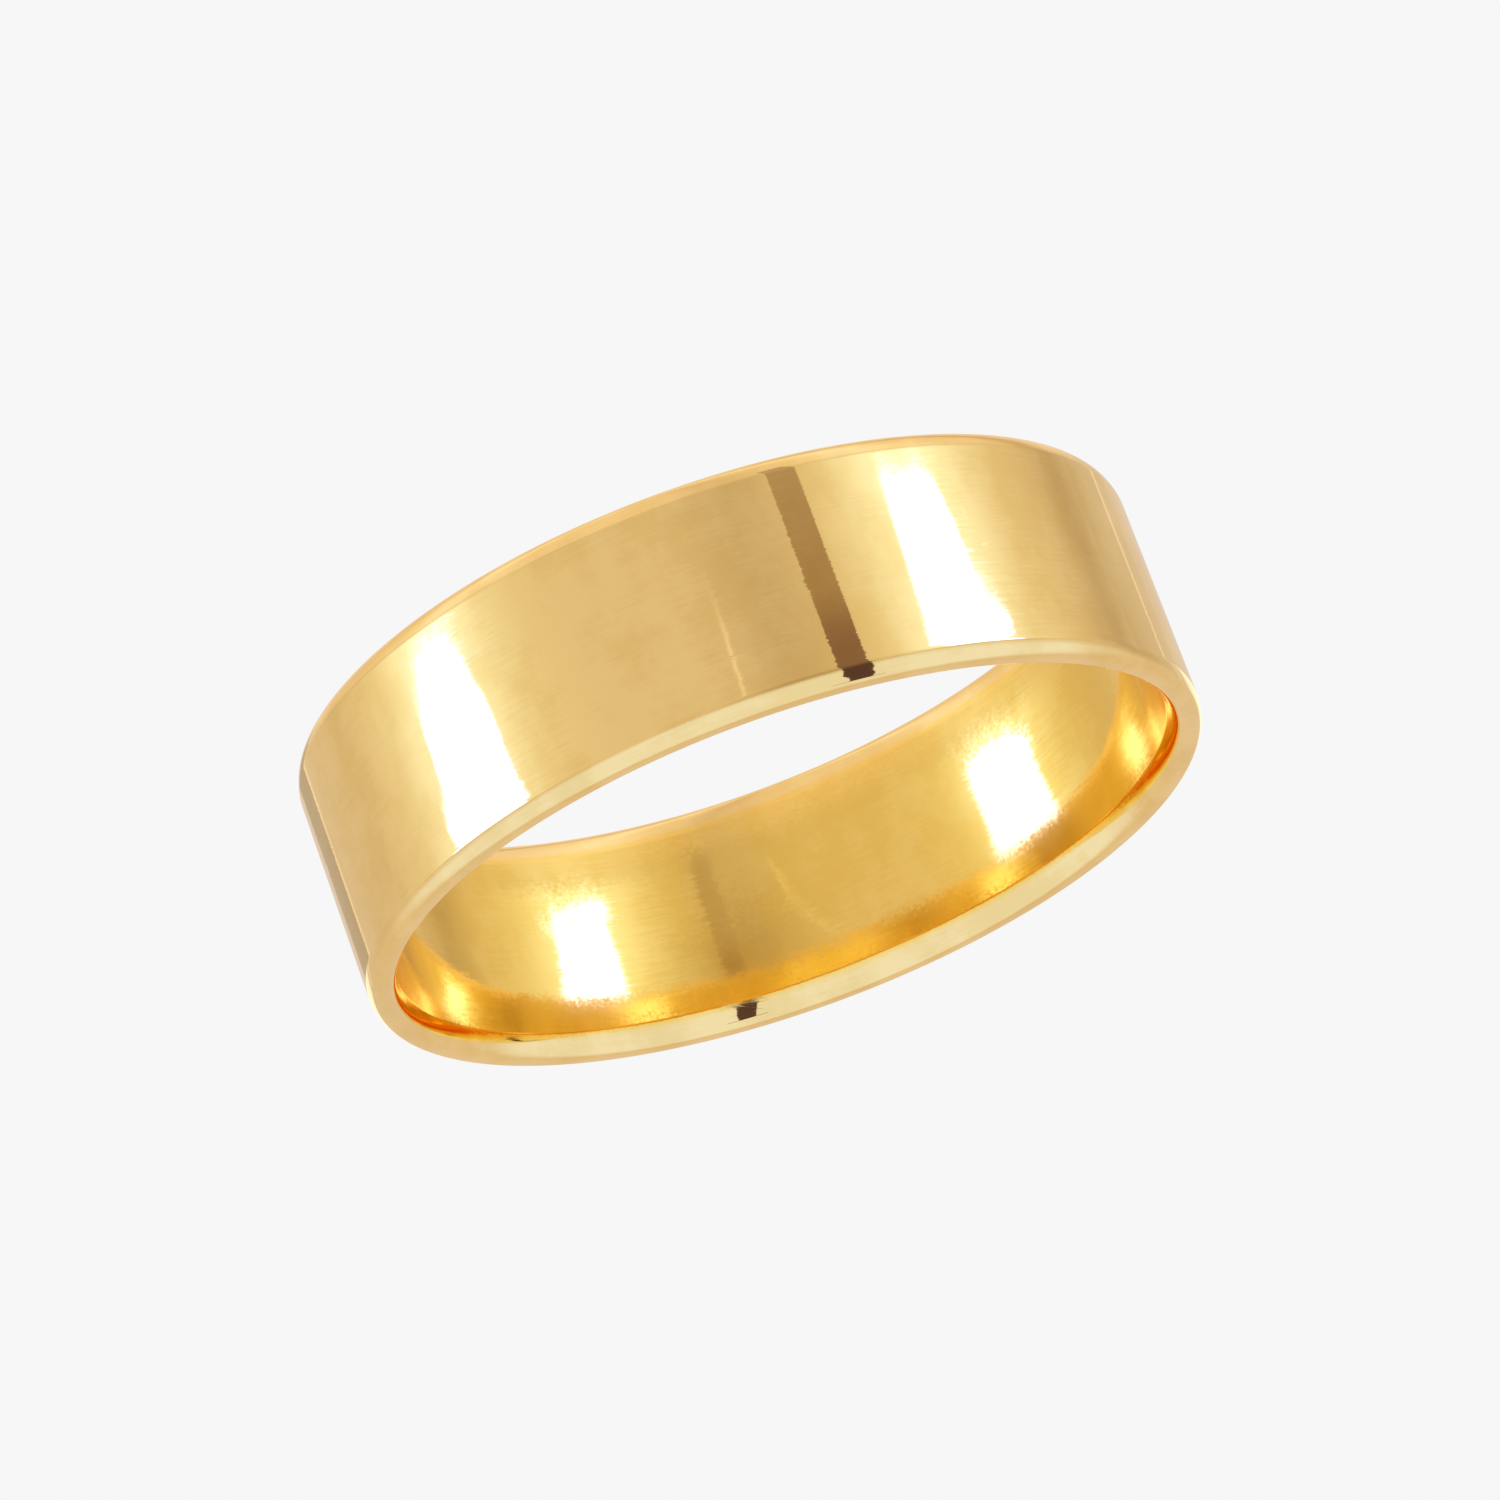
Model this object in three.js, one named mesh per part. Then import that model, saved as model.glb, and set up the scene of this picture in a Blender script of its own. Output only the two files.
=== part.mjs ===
// A plain one-piece wedding band. Millimetres, +Z up.
// The band lies flat: Z is the finger axis, and z = 0 is the plane that its lower rim rests on.
import * as THREE from "three";

// Driving dimensions
const OUTER_DIAMETER = 21.2;
const BAND_WIDTH = 6.0;            // along the finger axis, from crown to crown
const SHOULDER_DEPTH = 0.29;       // how far the outer edge is rounded towards the finger
const SHOULDER_HEIGHT = 0.41;      // how far the same rounding runs along the finger axis
const LAND_WIDTH = 0.15;           // flat ring on the crown of each rim
const EDGE_DEPTH = 0.365;          // how far the inner edge is rounded away from the finger
const EDGE_HEIGHT = 0.60;          // how far the same rounding runs along the finger axis
const DOME_DEPTH = 0.085;          // how far the bore swells in from the inner edges to mid-width

// How far each curve holds its direction at its two ends, as a share of its depth and height
const ROUNDING_HOLD = 0.60;
const SHOULDER_LEAN = 0.08;        // the outside turns into the shoulder at a faint edge
const EDGE_LEAN = 0.23;            // the bore turns into the inner edge at a plainer one
const DOME_EDGE_HOLD = 0.25;
const DOME_EDGE_LEAN = 0.0875;
const DOME_BORE_HOLD = 0.62;

const ROUND_SEGMENTS = 96;
const ROUNDING_SEGMENTS = 4;
const DOME_SEGMENTS = 5;           // from an inner edge to mid-width

// Polished yellow gold
const GOLD_COLOUR = 0xe2b75f;
const GOLD_ROUGHNESS = 0.12;
const GOLD_METALNESS = 1.0;

const OUTER_RADIUS = OUTER_DIAMETER / 2;
const HALF_WIDTH = BAND_WIDTH / 2;
const CROWN_OUT = OUTER_RADIUS - SHOULDER_DEPTH;
const CROWN_IN = CROWN_OUT - LAND_WIDTH;
const EDGE_RADIUS = CROWN_IN - EDGE_DEPTH;
const BORE_RADIUS = EDGE_RADIUS - DOME_DEPTH;

// A rounded edge of a rim, from a wall up to the crown, in (radius, height above mid-width). It starts
// with a lean towards the crown, a share of its depth, and ends level.
function roundedEdge(wallRadius, crownRadius, height, lean) {
  const wallEnd = HALF_WIDTH - height;
  const towardsCrown = crownRadius - wallRadius;
  return new THREE.CubicBezierCurve(
    new THREE.Vector2(wallRadius, wallEnd),
    new THREE.Vector2(wallRadius + towardsCrown * lean, wallEnd + height * ROUNDING_HOLD),
    new THREE.Vector2(crownRadius - towardsCrown * ROUNDING_HOLD, HALF_WIDTH),
    new THREE.Vector2(crownRadius, HALF_WIDTH),
  );
}

// The comfort-fit bore, from mid-width up to an inner edge: a low dome.
function domeCurve() {
  const top = HALF_WIDTH - EDGE_HEIGHT;
  const hold = top * DOME_EDGE_HOLD;
  return new THREE.CubicBezierCurve(
    new THREE.Vector2(BORE_RADIUS, 0),
    new THREE.Vector2(BORE_RADIUS, top * DOME_BORE_HOLD),
    new THREE.Vector2(EDGE_RADIUS - hold * DOME_EDGE_LEAN, top - hold),
    new THREE.Vector2(EDGE_RADIUS, top),
  );
}

// The section of the band in (radius, z), closed on itself: up the outside, over the upper rim,
// down the bore and back round the lower rim.
function bandSection() {
  const shoulder = roundedEdge(OUTER_RADIUS, CROWN_OUT, SHOULDER_HEIGHT, SHOULDER_LEAN);
  const innerEdge = roundedEdge(EDGE_RADIUS, CROWN_IN, EDGE_HEIGHT, EDGE_LEAN);
  const upperHalf = [
    ...shoulder.getPoints(ROUNDING_SEGMENTS),
    ...innerEdge.getPoints(ROUNDING_SEGMENTS).reverse(),
    ...domeCurve().getPoints(DOME_SEGMENTS).reverse().slice(1),
  ];
  const aboveMiddle = upperHalf.slice(0, -1);
  const lowerHalf = aboveMiddle.map((point) => new THREE.Vector2(point.x, -point.y)).reverse();
  const section = [...upperHalf, ...lowerHalf];
  section.forEach((point) => { point.y += HALF_WIDTH; });
  section.push(section[0].clone());
  return section;
}

// The whole band is one seamless piece of metal: the section turned about the finger axis.
function makeBand() {
  const geometry = new THREE.LatheGeometry(bandSection(), ROUND_SEGMENTS);
  geometry.rotateX(Math.PI / 2);   // a lathe turns about +Y: this brings its axis to +Z
  const gold = new THREE.MeshStandardMaterial({
    color: GOLD_COLOUR,
    roughness: GOLD_ROUGHNESS,
    metalness: GOLD_METALNESS,
  });
  const band = new THREE.Mesh(geometry, gold);
  band.name = "band";
  return band;
}

const weddingBand = new THREE.Group();
weddingBand.add(makeBand());

export default weddingBand;
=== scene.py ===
"""A plain gold wedding band: the fine surface, its material, and a soft studio around it."""
import math

import bpy
from mathutils import Matrix, Vector, noise


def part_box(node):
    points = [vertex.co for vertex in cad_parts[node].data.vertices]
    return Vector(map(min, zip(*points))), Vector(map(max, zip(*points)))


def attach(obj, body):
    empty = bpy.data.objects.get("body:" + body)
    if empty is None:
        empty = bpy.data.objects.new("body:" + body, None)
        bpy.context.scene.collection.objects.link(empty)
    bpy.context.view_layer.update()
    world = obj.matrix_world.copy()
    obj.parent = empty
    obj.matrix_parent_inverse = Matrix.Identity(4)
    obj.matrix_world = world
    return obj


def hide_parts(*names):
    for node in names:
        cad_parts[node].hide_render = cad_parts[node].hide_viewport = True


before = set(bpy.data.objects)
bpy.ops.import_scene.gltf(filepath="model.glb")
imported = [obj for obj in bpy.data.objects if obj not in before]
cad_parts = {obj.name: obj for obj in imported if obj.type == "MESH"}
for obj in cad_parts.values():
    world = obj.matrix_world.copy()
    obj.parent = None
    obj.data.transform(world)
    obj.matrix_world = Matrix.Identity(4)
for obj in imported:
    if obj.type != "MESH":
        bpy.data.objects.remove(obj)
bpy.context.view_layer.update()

MM = 0.001

# The band, in millimetres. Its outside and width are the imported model's.
LOW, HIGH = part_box("band")
OUTER_RADIUS = (HIGH.x - LOW.x) / 2 / MM
BAND_WIDTH = (HIGH.z - LOW.z) / MM
HALF_WIDTH = BAND_WIDTH / 2
SHOULDER_DEPTH = 0.29
SHOULDER_HEIGHT = 0.41
SHOULDER_LEAN = 0.08                  # the outside turns into the rim at a faint edge
ROUNDING_HOLD = 0.60
LAND_WIDTH = 0.15
EDGE_DEPTH = 0.365
EDGE_HEIGHT = 0.60
EDGE_LEAN = 0.23                      # the bore turns into its rounded edge at a plainer one
DOME_DEPTH = 0.085
DOME_EDGE_HOLD = 0.25
DOME_EDGE_LEAN = 0.0875
DOME_BORE_HOLD = 0.62
CROWN_OUT = OUTER_RADIUS - SHOULDER_DEPTH
CROWN_IN = CROWN_OUT - LAND_WIDTH
EDGE_RADIUS = CROWN_IN - EDGE_DEPTH
BORE_RADIUS = EDGE_RADIUS - DOME_DEPTH
MID_WALL = (OUTER_RADIUS + BORE_RADIUS) / 2
MIDDLE = (LOW + HIGH) / 2

# Steps of the fine mesh
TURN_STEPS = 900
WALL_STEPS = 24
ROUNDING_STEPS = 18
LAND_STEPS = 3
DOME_STEPS = 32
CREASE_LOOPS = (0.05, 0.015)          # how far from a faint edge its guard loops lie
WAVE_DEPTH = 0.003                    # how far polishing by hand has left the metal from true
WAVE_STRETCH = 0.12                   # how little the waves change across the band
WAVES = ((0.25, 0.8), (0.8, 0.2))     # scale per millimetre, share

# The studio. Colours are linear; turn is degrees round from the front, height is degrees up.
PALE = (0.93, 0.93, 0.93)
WARM_WALL = (0.77, 0.645, 0.545)
CREAM_SKY = (0.91, 0.93, 1.12)        # ahead of the band and overhead
TAN_SKY = (0.78, 0.655, 0.585)        # behind
SKY_FRONT = 0.04                      # how far back the cream begins to give way, and ends
SKY_BACK = 0.54
SKY_RISE = (-12.0, 4.0)               # heights over which the wall gives way to the sky
LOW_WALL = (0.93, 0.76, 0.66)
LOW_WALL_FALL = (-25.0, -34.0)        # heights over which the wall gives way to its foot
BACK_WALL = (1.14, 1.14, 1.00)        # a bright stretch behind the band, above the lights' ends
BACK_HALF = 30.0
BACK_FADE = 4.0
BACK_LOW = -19.4
BACK_HIGH = -4.0
BACK_FEATHER = 1.2
LIGHT_COLOUR = (2.0, 2.5, 6.6)        # even white once the gold has tinted it
NEAR_GLOW = (0.34, 0.56, 0.98)        # close round each light
NEAR_SPREAD = 17.0
WIDE_GLOW = (0.15, 0.16, 0.03)
WIDE_SPREAD = 27.0
GLOW_TOP = (-9.0, -17.0)              # heights over which the glows come in
GLOW_FOOT = (-26.5, -22.7)            # and over which they fade to a share of themselves
GLOW_FOOT_SHARE = 0.3
# The edges of each light: height, and the turn of the edge there; straight between
LIGHTS = (
    {
        "turn": -67.0,
        "left": ((-22.5, -68.5), (-22.25, -74.0), (-21.9, -75.4), (-20.0, -77.0), (-14.0, -81.5)),
        "right": ((-22.5, -61.5), (-22.25, -58.6), (-21.6, -56.8), (-20.0, -58.6), (-14.0, -58.2)),
        "flare": (-5.6, 2.2),
    },
    {
        "turn": 73.5,
        "left": ((-22.5, 68.5), (-22.25, 64.2), (-21.8, 61.2), (-20.0, 60.4), (-14.0, 58.6)),
        "right": ((-22.5, 73.0), (-22.25, 79.3), (-21.8, 83.6), (-20.0, 84.4), (-14.0, 86.0)),
        "flare": (-2.2, 3.2),
    },
)
FLARE_HEIGHT = -21.14                 # where the lights spread a little at their sides
FLARE_SPREAD = 0.16
LIGHT_LOW = -22.36
LIGHT_HIGH = -12.5
LIGHT_EDGE = 0.9
LIGHT_END = 0.12
# Darker stretches of the wall: turn, spread, amount
WALL_TONES = (
    (-121.0, 10.0, 0.30),
    (-19.0, 14.0, 0.20),
    (122.0, 16.0, 0.06),
)
HIGH_TONE = (-24.0, 22.0, 0.16)       # one that only shows higher up
HIGH_TONE_RISE = (-21.0, -18.5)
SHADE = (0.85, 1.0, 1.2)              # how strongly a darker stretch takes each colour away
# Narrow cards at the sides, seen near the outline: first turn, last turn, amount
SIDE_CARDS = (
    (-144.0, -128.6, -0.06),
    (-145.2, -144.0, 0.30),
    (-153.0, -145.6, -0.04),
    (146.2, 147.6, 0.30),
    (148.0, 162.0, -0.30),
)
CARD_EDGE = 0.5
# A thin slanting glint: its turn at height 0, and how fast it turns with height
GLINT_TURN = 32.0
GLINT_SLANT = 1.7
GLINT_SPREAD = 0.55
GLINT_LOW = -21.95
GLINT_HIGH = -14.5
GLINT_END = 0.35
GLINT_STRENGTH = 0.22
# The stand in front of the band, which the polish mirrors as a dark stripe: x, y, height and width
# of each station, in outer radii. It bends over towards the band, and ends in a crosspiece.
STAND = (
    (-1.65, -3.06, -2.4, 0.42),
    (-1.66, -3.06, 1.00, 0.42),
    (-1.52, -2.60, 1.60, 0.34),
    (-1.22, -1.80, 2.25, 0.26),
)
CROSSPIECE = (-1.20, -1.74, 2.32, 0.60)
STAND_GLOW_TONES = (                       # height in outer radii, and the painted glow given off there, standing in for how the stand looks lit: lighter at its foot, darker higher up
    (-1.60, (0.55, 0.43, 0.35)),
    (-0.98, (0.42, 0.285, 0.19)),
    (-0.78, (0.27, 0.16, 0.13)),
    (0.20, (0.107, 0.058, 0.065)),
)
FLOOR_HALF = 3.0                      # metres
FLOOR_DROP = 0.02                     # millimetres below the band
BOUNCES = 24                          # enough for light going round and round in the bore

# The gold, darker and lighter; linear colours
OUTSIDE_GOLD = ((0.915, 0.705, 0.280), (0.980, 0.785, 0.350))
# painted bounce light: the bore's gold is deeper and more orange than the outside's, standing in for light
# going round and round inside the bore
BORE_GOLD_WITH_BOUNCE = ((0.945, 0.675, 0.165), (1.0, 0.750, 0.225))
TONE_RANGE = (0.40, 0.60)
BORE_FINISH = (0.05, 0.01)            # millimetres outside the inner edge: where it starts, is whole
SATIN_RANGE = (0.9, 2.0)              # millimetres from mid-width: where the satin starts, is whole

# The marks in the polish. Stretches multiply x or y, and z; scales are per millimetre
FINE_STRETCH = (0.9, 15.0)
BROAD_STRETCH = (0.45, 2.2)
PATCH_SCALE = 0.30
PATCH_RANGE = (0.40, 0.62)
GRAIN_SCALE = 9.0
CLOUD_SCALE = 0.55
CLOUD_STRETCH = 0.7
SCRATCH_SLANT = (0.7, 2.1)
SCRATCH_STRETCH = (0.35, 0.2)
SCRATCH_SCALE = 1.3
SCRATCH_WIDTH = 0.010
SCRATCHED_SCALE = 0.42
SCRATCHED_RANGE = (0.56, 0.66)

# How far the marks lean the surface, as a slope
PLAIN_REACH = 0.009
PATCH_REACH = 0.026
BORE_REACH = 0.022
BROAD_SHARE = 0.2
SCRATCH_LEAN = 0.018
GRAIN_LEAN = 0.003
BORE_GRAIN_LEAN = 0.040
SATIN_GRAIN_LEAN = 0.040
CLOUD_LEAN = 0.004
BORE_CLOUD_LEAN = 0.030

# Roughness: a base, and what each kind of mark adds
OUTSIDE_ROUGHNESS = 0.018
OUTSIDE_ADDS = {"patches": 0.014, "fine": 0.018, "scratch": 0.08}
BORE_ROUGHNESS = 0.035
BORE_ADDS = {"patches": 0.02, "grain": 0.05, "scratch": 0.10, "satin": 0.07}

# The camera
CAMERA_ELEVATION = math.radians(20.88)
CAMERA_ROLL = math.radians(200.3)
CAMERA_DISTANCE = 18.657 * OUTER_RADIUS * MM
LENS = 196.45
SENSOR = 36.0
SHIFT_X = -0.00046
SHIFT_Y = 0.00603


# ---------------------------------------------------------------- the band's shape
def bezier(handles, steps):
    """Points of a cubic curve, without its first one."""
    points = []
    for i in range(1, steps + 1):
        t = i / steps
        weights = ((1 - t) ** 3, 3 * t * (1 - t) ** 2, 3 * t * t * (1 - t), t ** 3)
        points.append(sum((h * w for h, w in zip(handles, weights)), Vector((0, 0))))
    return points


def straight(start, end, steps):
    """Points of a straight run, without its first one."""
    return [start.lerp(end, i / steps) for i in range(1, steps + 1)]


def rounded_edge(wall_radius, crown_radius, height, lean):
    """A rounded edge of a rim, from the wall up to the crown, with guard loops at its faint edge."""
    wall_end = Vector((wall_radius, HALF_WIDTH - height))
    towards_crown = crown_radius - wall_radius
    start = Vector((towards_crown * lean, height * ROUNDING_HOLD))
    crown = Vector((crown_radius, HALF_WIDTH))
    before_crown = crown - Vector((towards_crown * ROUNDING_HOLD, 0))
    loops = [wall_end + start.normalized() * away for away in reversed(CREASE_LOOPS)]
    return loops + bezier((wall_end, wall_end + start, before_crown, crown), ROUNDING_STEPS)[1:]


def upper_half():
    """The upper half of the wall's outline, from mid-width outside to mid-width in the bore."""
    wall_end = Vector((OUTER_RADIUS, HALF_WIDTH - SHOULDER_HEIGHT))
    edge_end = Vector((EDGE_RADIUS, HALF_WIDTH - EDGE_HEIGHT))
    walk = straight(Vector((OUTER_RADIUS, 0)), wall_end - Vector((0, CREASE_LOOPS[0])), WALL_STEPS // 2)
    walk += [wall_end - Vector((0, away)) for away in CREASE_LOOPS[1:]]
    walk += rounded_edge(OUTER_RADIUS, CROWN_OUT, SHOULDER_HEIGHT, SHOULDER_LEAN)
    walk += straight(walk[-1], Vector((CROWN_IN, HALF_WIDTH)), LAND_STEPS)
    walk += reversed(rounded_edge(EDGE_RADIUS, CROWN_IN, EDGE_HEIGHT, EDGE_LEAN)[:-1])
    hold = edge_end.y * DOME_EDGE_HOLD
    off_edge = edge_end - Vector((hold * DOME_EDGE_LEAN, hold))
    down = off_edge - edge_end
    walk += [edge_end + down.normalized() * away for away in reversed(CREASE_LOOPS)]
    up_bore = Vector((BORE_RADIUS, edge_end.y * DOME_BORE_HOLD))
    walk += bezier((edge_end, off_edge, up_bore, Vector((BORE_RADIUS, 0))), DOME_STEPS)[1:]
    return walk


def section():
    """The closed outline of the band's wall, in (radius, z from mid-width), in millimetres."""
    upper = upper_half()
    lower = [Vector((point.x, -point.y)) for point in reversed(upper[:-1])]
    return [Vector((OUTER_RADIUS, 0))] + upper + lower


def wave(angle, radius, height):
    """Long, very low waves round the band, from 0 to WAVE_DEPTH."""
    place = Vector((math.cos(angle) * radius, math.sin(angle) * radius, height * WAVE_STRETCH))
    level = sum(share * noise.noise(place * scale) for scale, share in WAVES)
    return WAVE_DEPTH * (0.5 + 0.5 * level)


def make_band():
    outline = section()
    vertices = []
    for i in range(TURN_STEPS):
        angle = 2 * math.pi * i / TURN_STEPS
        for radius, height in outline:
            inset = wave(angle, radius, height)
            r = radius - inset if radius > MID_WALL else radius + inset
            vertices.append((
                r * math.cos(angle) * MM,
                r * math.sin(angle) * MM,
                (height + HALF_WIDTH) * MM,
            ))
    count = len(outline)
    faces = []
    for i in range(TURN_STEPS):
        here = i * count
        there = ((i + 1) % TURN_STEPS) * count
        for j in range(count):
            k = (j + 1) % count
            faces.append((here + j, there + j, there + k, here + k))
    mesh = bpy.data.meshes.new("gold_band")
    mesh.from_pydata(vertices, [], faces)
    mesh.validate()
    mesh.shade_smooth()
    band = bpy.data.objects.new("gold_band", mesh)
    bpy.context.scene.collection.objects.link(band)
    return band


# ---------------------------------------------------------------- node helpers
class Nodes:
    """Builds a node tree; its calls take and give sockets or plain numbers."""

    def __init__(self, tree):
        self.tree = tree
        tree.nodes.clear()

    def add(self, kind, **settings):
        node = self.tree.nodes.new(kind)
        for name, value in settings.items():
            setattr(node, name, value)
        return node

    def put(self, value, socket):
        if isinstance(value, bpy.types.NodeSocket):
            self.tree.links.new(value, socket)
        else:
            socket.default_value = value

    def math(self, operation, *values):
        node = self.add("ShaderNodeMath", operation=operation)
        for value, socket in zip(values, node.inputs):
            self.put(value, socket)
        return node.outputs[0]

    def scaled(self, value, factor, offset=0.0):
        return self.math("MULTIPLY_ADD", value, factor, offset)

    def sum(self, values):
        total = values[0]
        for value in values[1:]:
            total = self.math("ADD", total, value)
        return total

    def ramp(self, value, low, high, out_low=0.0, out_high=1.0):
        """Goes smoothly from out_low to out_high as value goes from low to high."""
        node = self.add("ShaderNodeMapRange", interpolation_type="SMOOTHSTEP")
        for v, socket in zip((value, low, high, out_low, out_high), node.inputs):
            self.put(v, socket)
        return node.outputs[0]

    def linear(self, value, low, high, out_low, out_high):
        """Goes evenly from out_low to out_high as value goes from low to high."""
        node = self.add("ShaderNodeMapRange", interpolation_type="LINEAR")
        for v, socket in zip((value, low, high, out_low, out_high), node.inputs):
            self.put(v, socket)
        return node.outputs[0]

    def window(self, value, low, high, feather):
        rise = self.ramp(value, low - feather, low + feather)
        fall = self.ramp(value, high - feather, high + feather, 1.0, 0.0)
        return self.math("MULTIPLY", rise, fall)

    def bell(self, value, middle, spread):
        away = self.math("DIVIDE", self.math("SUBTRACT", value, middle), spread)
        return self.math("EXPONENT", self.scaled(self.math("MULTIPLY", away, away), -1.0))

    def mix(self, amount, a, b, blend="MIX"):
        node = self.add("ShaderNodeMix", data_type="RGBA", blend_type=blend)
        self.put(amount, node.inputs["Factor"])
        for colour, socket in ((a, node.inputs[6]), (b, node.inputs[7])):
            self.put(colour if isinstance(colour, bpy.types.NodeSocket) else (*colour, 1.0), socket)
        return node.outputs[2]

    def noise(self, vector, scale, detail=2.0, roughness=0.5):
        node = self.add("ShaderNodeTexNoise")
        self.put(vector, node.inputs["Vector"])
        node.inputs["Scale"].default_value = scale
        node.inputs["Detail"].default_value = detail
        node.inputs["Roughness"].default_value = roughness
        return node.outputs["Fac"]

    def vector(self, x, y, z):
        node = self.add("ShaderNodeCombineXYZ")
        for value, socket in zip((x, y, z), node.inputs):
            self.put(value, socket)
        return node.outputs[0]

    def vector_math(self, operation, a, b=None, scale=None):
        node = self.add("ShaderNodeVectorMath", operation=operation)
        self.put(a, node.inputs[0])
        if b is not None:
            self.put(b, node.inputs[1])
        if scale is not None:
            self.put(scale, node.inputs["Scale"])
        return node.outputs[0]

    def grey(self, value):
        return self.vector(value, value, value)

    def split(self, vector):
        node = self.add("ShaderNodeSeparateXYZ")
        self.tree.links.new(vector, node.inputs[0])
        return node.outputs


# ---------------------------------------------------------------- the gold
def stretched(n, place, stretch):
    """A place for noise that is drawn out round the band."""
    x, y, z = place
    level, across = stretch
    return n.vector(n.scaled(x, level), n.scaled(y, level), n.scaled(z, across))


def scratches(n, place, parts):
    """Hairline scratches in places: thin lines at the middle level of a drawn-out noise."""
    x, y, z = parts
    slant = n.math("ADD", n.scaled(x, SCRATCH_SLANT[0]), n.scaled(z, SCRATCH_SLANT[1]))
    drawn_out = n.vector(slant, n.scaled(y, SCRATCH_STRETCH[0]), n.scaled(x, SCRATCH_STRETCH[1]))
    level = n.noise(drawn_out, SCRATCH_SCALE, 1.0)
    line = n.ramp(n.math("ABSOLUTE", n.math("SUBTRACT", level, 0.5)), 0.0, SCRATCH_WIDTH, 1.0, 0.0)
    scratched = n.ramp(n.noise(place, SCRATCHED_SCALE, 2.0), *SCRATCHED_RANGE)
    return n.math("MULTIPLY", line, scratched)


def polished_gold():
    """Mirror-polished outside and on the rims, with fine marks round the band; softer in the bore, where
    the gold is painted deeper orange for the light bouncing round inside it.
    """
    material = bpy.data.materials.new("polished_gold")
    material.use_nodes = True
    n = Nodes(material.node_tree)
    place = n.vector_math("SCALE", n.add("ShaderNodeTexCoord").outputs["Object"], scale=1 / MM)
    x, y, z = n.split(place)
    radius = n.math("SQRT", n.math("ADD", n.math("MULTIPLY", x, x), n.math("MULTIPLY", y, y)))
    bore = n.ramp(radius, EDGE_RADIUS + BORE_FINISH[0], EDGE_RADIUS + BORE_FINISH[1])
    beside_edge = n.ramp(n.math("ABSOLUTE", n.scaled(z, 1.0, -HALF_WIDTH)), *SATIN_RANGE)
    satin = n.math("MULTIPLY", bore, beside_edge)

    # Marks drawn out round the band: fine ones, broader ones, and patches where they gather
    fine = n.noise(stretched(n, (x, y, z), FINE_STRETCH), 1.0, 3.0, 0.7)
    broad = n.noise(stretched(n, (x, y, z), BROAD_STRETCH), 1.0, 2.0)
    patches = n.ramp(n.noise(place, PATCH_SCALE, 3.0, 0.6), *PATCH_RANGE)
    grain = n.noise(place, GRAIN_SCALE, 3.0, 0.7)
    cloud = n.noise(n.vector(x, y, n.scaled(z, CLOUD_STRETCH)), CLOUD_SCALE, 5.0, 0.62)
    scratch = scratches(n, place, (x, y, z))

    # The marks tilt the surface a little: outside mostly round the band, in the bore up it as well
    plain_reach = n.scaled(patches, PATCH_REACH, PLAIN_REACH)
    reach = n.math("ADD", plain_reach, n.scaled(bore, BORE_REACH))
    lean_fine = n.math("MULTIPLY", n.math("SUBTRACT", fine, 0.5), reach)
    lean_broad = n.math("MULTIPLY", n.math("SUBTRACT", broad, 0.5), n.scaled(reach, BROAD_SHARE))
    around = n.sum((lean_fine, lean_broad, n.scaled(scratch, SCRATCH_LEAN)))
    grain_reach = n.sum((GRAIN_LEAN, n.scaled(bore, BORE_GRAIN_LEAN), n.scaled(satin, SATIN_GRAIN_LEAN)))
    lean_grain = n.math("MULTIPLY", n.math("SUBTRACT", grain, 0.5), grain_reach)
    cloud_reach = n.scaled(bore, BORE_CLOUD_LEAN, CLOUD_LEAN)
    lean_cloud = n.math("MULTIPLY", n.math("SUBTRACT", cloud, 0.5), cloud_reach)
    up = n.sum((lean_grain, lean_cloud))
    tangent = n.vector(n.scaled(n.math("DIVIDE", y, radius), -1.0), n.math("DIVIDE", x, radius), 0.0)
    true_normal = n.add("ShaderNodeNewGeometry").outputs["Normal"]
    leaned = n.vector_math("ADD", true_normal, n.vector_math("SCALE", tangent, scale=around))
    leaned = n.vector_math("NORMALIZE", n.vector_math("ADD", leaned, n.vector(0.0, 0.0, up)))

    tone = n.ramp(n.math("ADD", n.scaled(cloud, 0.75), n.scaled(fine, 0.25)), *TONE_RANGE)
    # the bore takes the deeper, painted-orange gold that stands in for light bouncing round inside it
    colour = n.mix(bore, n.mix(tone, *OUTSIDE_GOLD), n.mix(tone, *BORE_GOLD_WITH_BOUNCE))

    marks = {"patches": patches, "fine": fine, "grain": grain, "scratch": scratch, "satin": satin}
    rough_outside = n.sum([OUTSIDE_ROUGHNESS] + [
        n.scaled(marks[name], share) for name, share in OUTSIDE_ADDS.items()])
    rough_bore = n.sum([BORE_ROUGHNESS] + [
        n.scaled(marks[name], share) for name, share in BORE_ADDS.items()])
    rougher = n.math("MULTIPLY", bore, n.math("SUBTRACT", rough_bore, rough_outside))
    roughness = n.math("ADD", rough_outside, rougher)

    shader = n.add("ShaderNodeBsdfPrincipled")
    output = n.add("ShaderNodeOutputMaterial")
    n.tree.links.new(shader.outputs[0], output.inputs[0])
    shader.inputs["Metallic"].default_value = 1.0
    n.put(colour, shader.inputs["Base Color"])
    n.put(roughness, shader.inputs["Roughness"])
    n.put(leaned, shader.inputs["Normal"])
    return material


# ---------------------------------------------------------------- the studio
def away_from(n, turn, middle):
    """Degrees round from middle, at most 180."""
    away = n.math("ABSOLUTE", n.math("SUBTRACT", turn, middle))
    return n.math("MINIMUM", away, n.math("SUBTRACT", 360.0, away))


def edge_turn(n, height, points, spread):
    """The turn of a light's edge at each height, with the spread added at the flare."""
    steps = [
        n.linear(height, low, high, 0.0, after - before)
        for (low, before), (high, after) in zip(points, points[1:])
    ]
    return n.sum([points[0][1]] + steps + [n.scaled(n.bell(height, FLARE_HEIGHT, FLARE_SPREAD), spread)])


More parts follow.
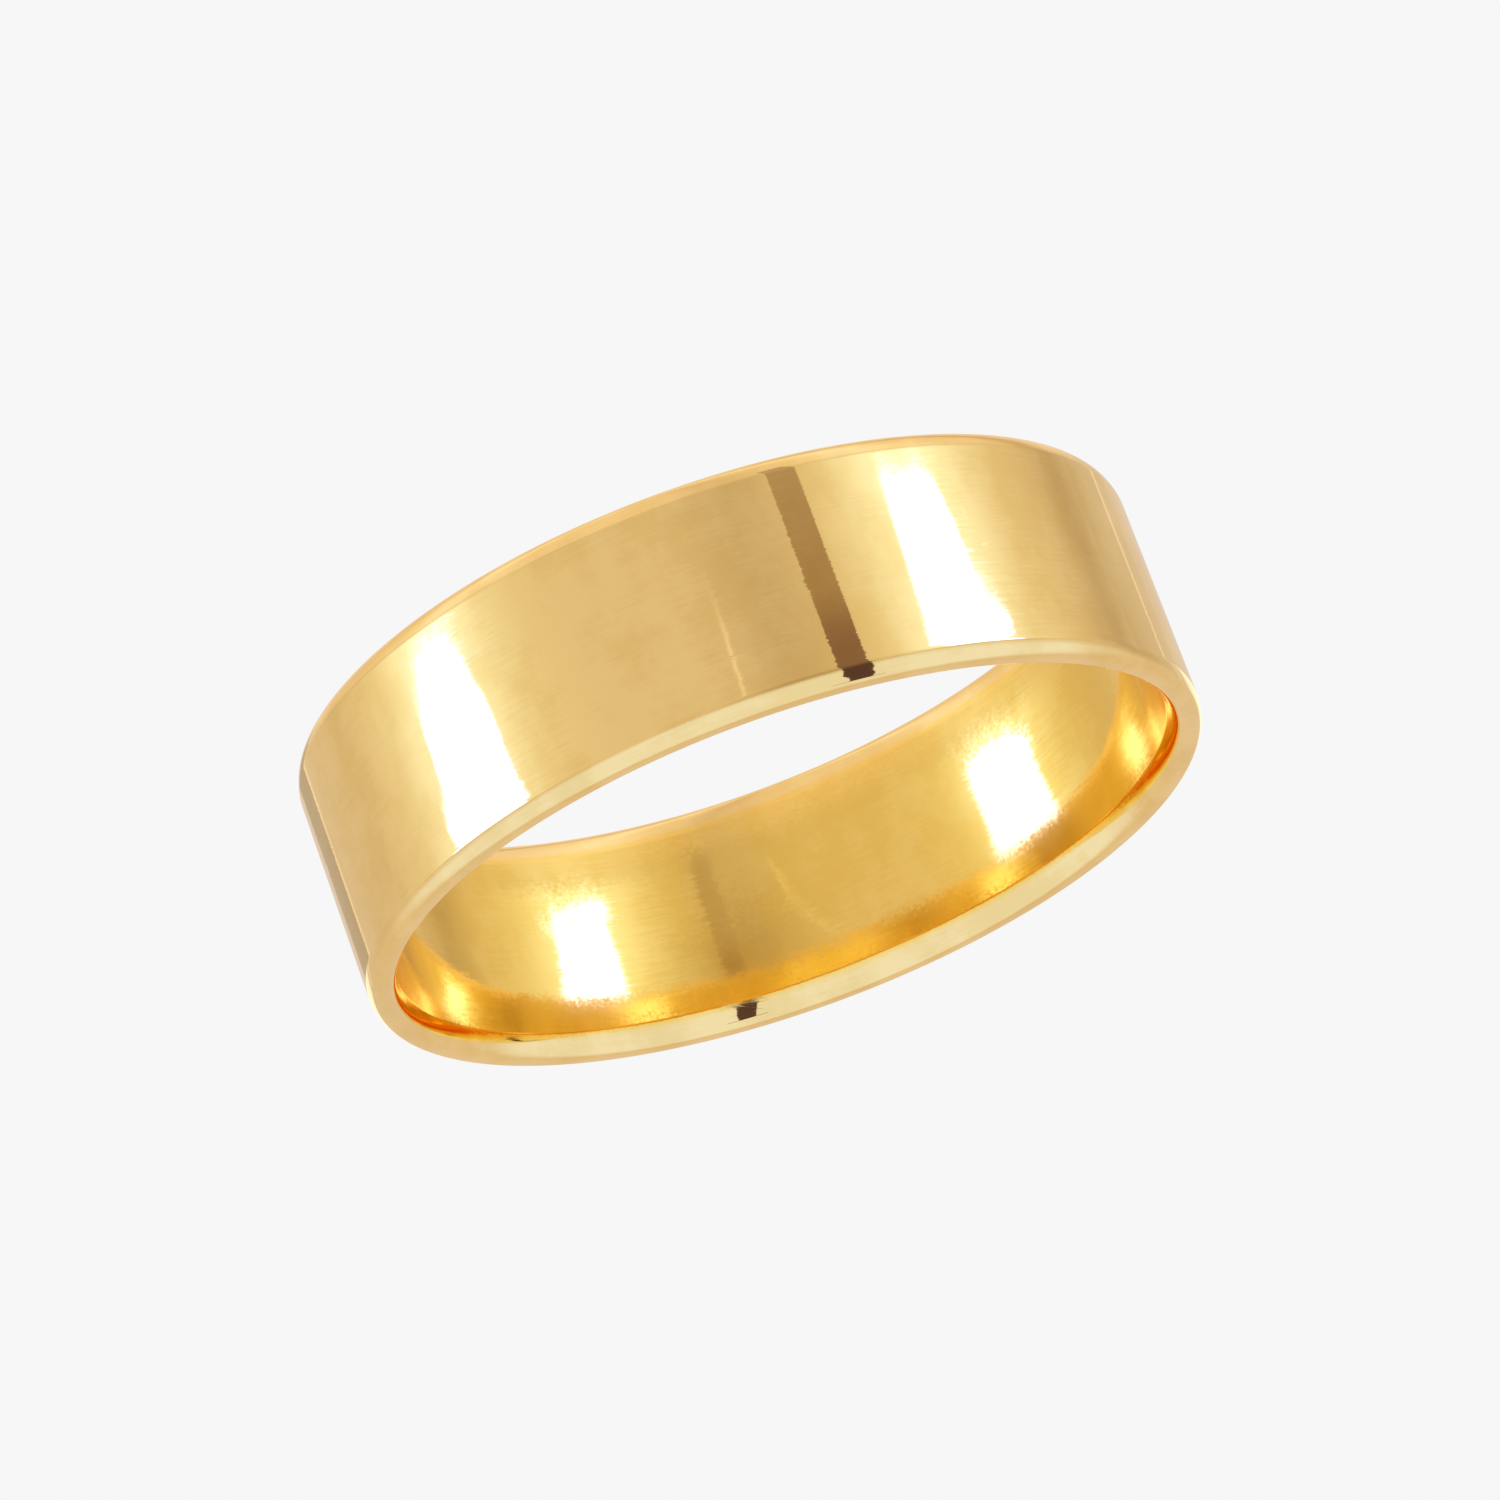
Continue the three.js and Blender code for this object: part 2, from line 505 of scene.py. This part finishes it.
def soft_light(n, turn, height, light):
    """A tall soft light, rounded off at its lower end and a little wider higher up."""
    left = edge_turn(n, height, light["left"], light["flare"][0])
    right = edge_turn(n, height, light["right"], light["flare"][1])
    past_left = n.ramp(n.math("SUBTRACT", turn, left), -LIGHT_EDGE, LIGHT_EDGE)
    past_right = n.ramp(n.math("SUBTRACT", right, turn), -LIGHT_EDGE, LIGHT_EDGE)
    across = n.math("MULTIPLY", past_left, past_right)
    return n.math("MULTIPLY", across, n.window(height, LIGHT_LOW, LIGHT_HIGH, LIGHT_END))


def warm_wall(n, turn, height):
    """The wall round the band, with its cards, foot, glows and darker stretches."""
    cards = [n.scaled(n.window(turn, first, last, CARD_EDGE), amount) for first, last, amount in SIDE_CARDS]
    wall = n.mix(1.0, WARM_WALL, n.grey(n.sum([1.0] + cards)), "MULTIPLY")
    wall = n.mix(n.ramp(height, *LOW_WALL_FALL), wall, LOW_WALL)
    foot = n.ramp(height, *GLOW_FOOT, GLOW_FOOT_SHARE, 1.0)
    low_part = n.math("MULTIPLY", n.ramp(height, *GLOW_TOP), foot)
    for glow, spread in ((NEAR_GLOW, NEAR_SPREAD), (WIDE_GLOW, WIDE_SPREAD)):
        bells = n.sum([n.bell(away_from(n, turn, light["turn"]), 0.0, spread) for light in LIGHTS])
        added = n.mix(1.0, glow, n.grey(n.math("MULTIPLY", bells, low_part)), "MULTIPLY")
        wall = n.mix(1.0, wall, added, "ADD")
    dark = n.sum([n.scaled(n.bell(turn, middle, spread), amount) for middle, spread, amount in WALL_TONES])
    middle, spread, amount = HIGH_TONE
    higher = n.scaled(n.bell(turn, middle, spread), amount)
    dark = n.math("ADD", dark, n.math("MULTIPLY", higher, n.ramp(height, *HIGH_TONE_RISE)))
    left = n.vector(*[n.scaled(dark, -share, 1.0) for share in SHADE])
    return n.mix(1.0, wall, left, "MULTIPLY")


def studio_world():
    world = bpy.data.worlds.new("studio")
    bpy.context.scene.world = world
    world.use_nodes = True
    n = Nodes(world.node_tree)
    x, y, z = n.split(n.add("ShaderNodeTexCoord").outputs["Generated"])
    turn = n.math("DEGREES", n.math("ARCTAN2", x, n.scaled(y, -1.0)))
    height = n.math("DEGREES", n.math("ARCSINE", z))
    wall = warm_wall(n, turn, height)

    glint_turn = n.math("SUBTRACT", turn, n.scaled(height, GLINT_SLANT, GLINT_TURN))
    glint_ends = n.window(height, GLINT_LOW, GLINT_HIGH, GLINT_END)
    glint = n.math("MULTIPLY", n.bell(glint_turn, 0.0, GLINT_SPREAD), glint_ends)
    wall = n.mix(1.0, wall, n.grey(n.scaled(glint, GLINT_STRENGTH)), "ADD")

    from_behind = away_from(n, turn, 180.0)
    behind = n.ramp(from_behind, BACK_HALF - BACK_FADE, BACK_HALF + BACK_FADE, 1.0, 0.0)
    back_rows = n.window(height, BACK_LOW, BACK_HIGH, BACK_FEATHER)
    wall = n.mix(n.math("MULTIPLY", behind, back_rows), wall, BACK_WALL)

    ahead = n.ramp(y, SKY_FRONT, SKY_BACK, 1.0, 0.0)
    colour = n.mix(n.ramp(height, *SKY_RISE), wall, n.mix(ahead, TAN_SKY, CREAM_SKY))
    lit = [soft_light(n, turn, height, light) for light in LIGHTS]
    colour = n.mix(n.math("MINIMUM", n.sum(lit), 1.0), colour, LIGHT_COLOUR)

    seen = n.add("ShaderNodeLightPath").outputs["Is Camera Ray"]
    background = n.add("ShaderNodeBackground")
    n.tree.links.new(n.mix(seen, colour, PALE), background.inputs["Color"])
    output = n.add("ShaderNodeOutputWorld")
    n.tree.links.new(background.outputs[0], output.inputs[0])


def glowing(name):
    """A material that only gives off light, with its node helper and its shader."""
    material = bpy.data.materials.new(name)
    material.use_nodes = True
    n = Nodes(material.node_tree)
    light = n.add("ShaderNodeEmission")
    output = n.add("ShaderNodeOutputMaterial")
    n.tree.links.new(light.outputs[0], output.inputs[0])
    return material, n, light


def flat_piece(name, corners, material):
    """Upright or level rectangles, four corners each, as one object of the studio."""
    mesh = bpy.data.meshes.new(name)
    mesh.from_pydata(corners, [], [tuple(range(i, i + 4)) for i in range(0, len(corners), 4)])
    mesh.materials.append(material)
    piece = bpy.data.objects.new(name, mesh)
    bpy.context.scene.collection.objects.link(piece)
    return piece


def pale_floor():
    material, _, light = glowing("pale_floor")
    light.inputs["Color"].default_value = (*PALE, 1.0)
    ways = ((-1, -1), (1, -1), (1, 1), (-1, 1))
    corners = [(x * FLOOR_HALF, y * FLOOR_HALF, -FLOOR_DROP * MM) for x, y in ways]
    floor = flat_piece("floor", corners, material)
    floor.visible_glossy = False
    floor.visible_diffuse = False


def station_ends(station, width):
    """The two ends of a level line across the stand, in metres, from a station in outer radii."""
    x, y, level, _ = station
    side = Vector((-y, x, 0)).normalized() * width / 2
    unit = OUTER_RADIUS * MM
    z = MIDDLE.z + level * unit
    return [((x + s * side.x) * unit, (y + s * side.y) * unit, z) for s in (-1, 1)]


def dark_stand():
    """A dark post with a crosspiece, seen only as the band mirrors it; it glows with painted tones that
    stand in for how it is lit, lighter at its foot and darker higher up.
    """
    material, n, light = glowing("dark_stand")
    height = n.split(n.add("ShaderNodeTexCoord").outputs["Object"])[2]
    level = n.scaled(height, 1 / (OUTER_RADIUS * MM), -MIDDLE.z / (OUTER_RADIUS * MM))
    # painted light: the stand glows in these tones instead of being lit
    colour = STAND_GLOW_TONES[0][1]
    for (below, _), (above, tone) in zip(STAND_GLOW_TONES, STAND_GLOW_TONES[1:]):
        colour = n.mix(n.ramp(level, below, above), colour, tone)
    n.put(colour, light.inputs["Color"])
    corners = []
    for below, above in zip(STAND, STAND[1:]):
        left, right = station_ends(below, below[3])
        corners += [left, right, *reversed(station_ends(above, above[3]))]
    left, right = station_ends(STAND[-1], CROSSPIECE[3])
    corners += [left, right, *reversed(station_ends(CROSSPIECE, CROSSPIECE[3]))]
    stand = flat_piece("dark_stand", corners, material)
    stand.visible_camera = False
    stand.visible_diffuse = False
    stand.visible_shadow = False


def photo_camera():
    """Looks down at the band from its front, with the picture turned about the line of sight."""
    back = Vector((0, -math.cos(CAMERA_ELEVATION), math.sin(CAMERA_ELEVATION)))
    level_right = Vector((1, 0, 0))
    level_up = back.cross(level_right)
    right = level_right * math.cos(CAMERA_ROLL) - level_up * math.sin(CAMERA_ROLL)
    up = level_right * math.sin(CAMERA_ROLL) + level_up * math.cos(CAMERA_ROLL)
    data = bpy.data.cameras.new("camera")
    data.lens = LENS
    data.sensor_width = SENSOR
    data.shift_x = SHIFT_X
    data.shift_y = SHIFT_Y
    data.clip_start = 0.01
    data.clip_end = 10.0
    camera = bpy.data.objects.new("camera", data)
    bpy.context.scene.collection.objects.link(camera)
    turned = Matrix((right, up, back)).transposed().to_4x4()
    camera.matrix_world = Matrix.Translation(MIDDLE + back * CAMERA_DISTANCE) @ turned
    bpy.context.scene.camera = camera


photo_camera()
studio_world()
pale_floor()
dark_stand()
bpy.context.scene.view_settings.view_transform = "Standard"
bpy.context.scene.cycles.max_bounces = BOUNCES
bpy.context.scene.cycles.glossy_bounces = BOUNCES

band = make_band()
band.data.materials.append(polished_gold())
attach(band, "root")
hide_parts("band")
